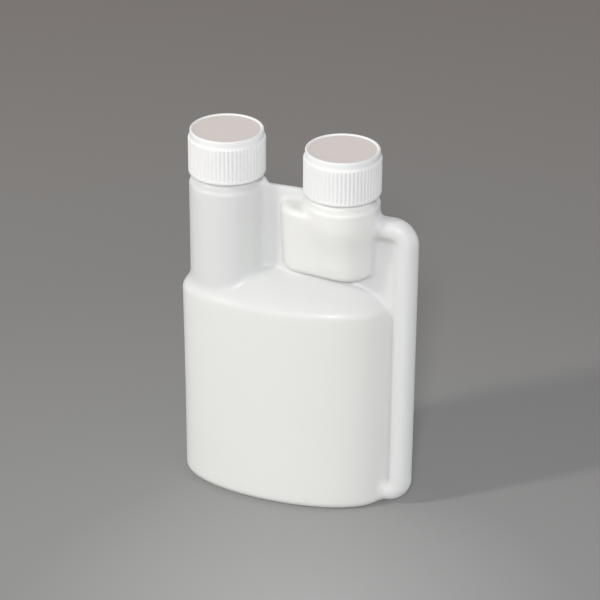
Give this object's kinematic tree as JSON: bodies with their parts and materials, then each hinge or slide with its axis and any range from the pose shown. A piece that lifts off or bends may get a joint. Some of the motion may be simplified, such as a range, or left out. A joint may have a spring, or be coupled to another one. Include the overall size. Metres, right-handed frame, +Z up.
{
  "type": "dosing bottle",
  "caption": "Blow-moulded squeeze dosing bottle: oval reservoir with a tall filling neck, small dosing chamber fed by a bent side tube, and ribbed screw caps.",
  "frame": {"origin": "middle of the bottle's outline, on the plane that it stands on", "axes": "+Z up, +X towards the transfer tube, -Y towards the side that the picture shows"},
  "size_m": [0.0976, 0.038, 0.1573],
  "materials": {
    "natural_polyethylene": "natural see-through milky polyethylene, satin",
    "white_polypropylene": "opaque white polypropylene, fine satin",
    "white_foam": "white closed-cell foam"
  },
  "bodies": {
    "bottle_body": {"bottle": "natural_polyethylene"},
    "reservoir_cap_seal": {"reservoir_cap_liner": "white_foam"},
    "reservoir_cap_shell": {"reservoir_cap": "white_polypropylene"},
    "dosing_cap_seal": {"dosing_cap_liner": "white_foam"},
    "dosing_cap_shell": {"dosing_cap": "white_polypropylene"}
  },
  "joints": [
    {"name": "reservoir_cap_rise", "type": "slide", "parent": "bottle_body", "child": "reservoir_cap_seal", "axis": [0, 0, 1], "range_m": [0, 0.01693]},
    {"name": "reservoir_cap_turn", "type": "hinge", "parent": "reservoir_cap_seal", "child": "reservoir_cap_shell", "pos_m": [-0.0299, 0, 0.1483], "axis": [0, 0, 1], "range_deg": [0, 1440]},
    {"name": "dosing_cap_rise", "type": "slide", "parent": "bottle_body", "child": "dosing_cap_seal", "axis": [0, 0, 1], "range_m": [0, 0.01693]},
    {"name": "dosing_cap_turn", "type": "hinge", "parent": "dosing_cap_seal", "child": "dosing_cap_shell", "pos_m": [0.0178, 0, 0.1467], "axis": [0, 0, 1], "range_deg": [0, 1440]}
  ],
  "couplings": [
    {"joint": "reservoir_cap_rise", "follows": "reservoir_cap_turn", "m_per_rad": 0.00067322},
    {"joint": "dosing_cap_rise", "follows": "dosing_cap_turn", "m_per_rad": 0.00067322}
  ]
}
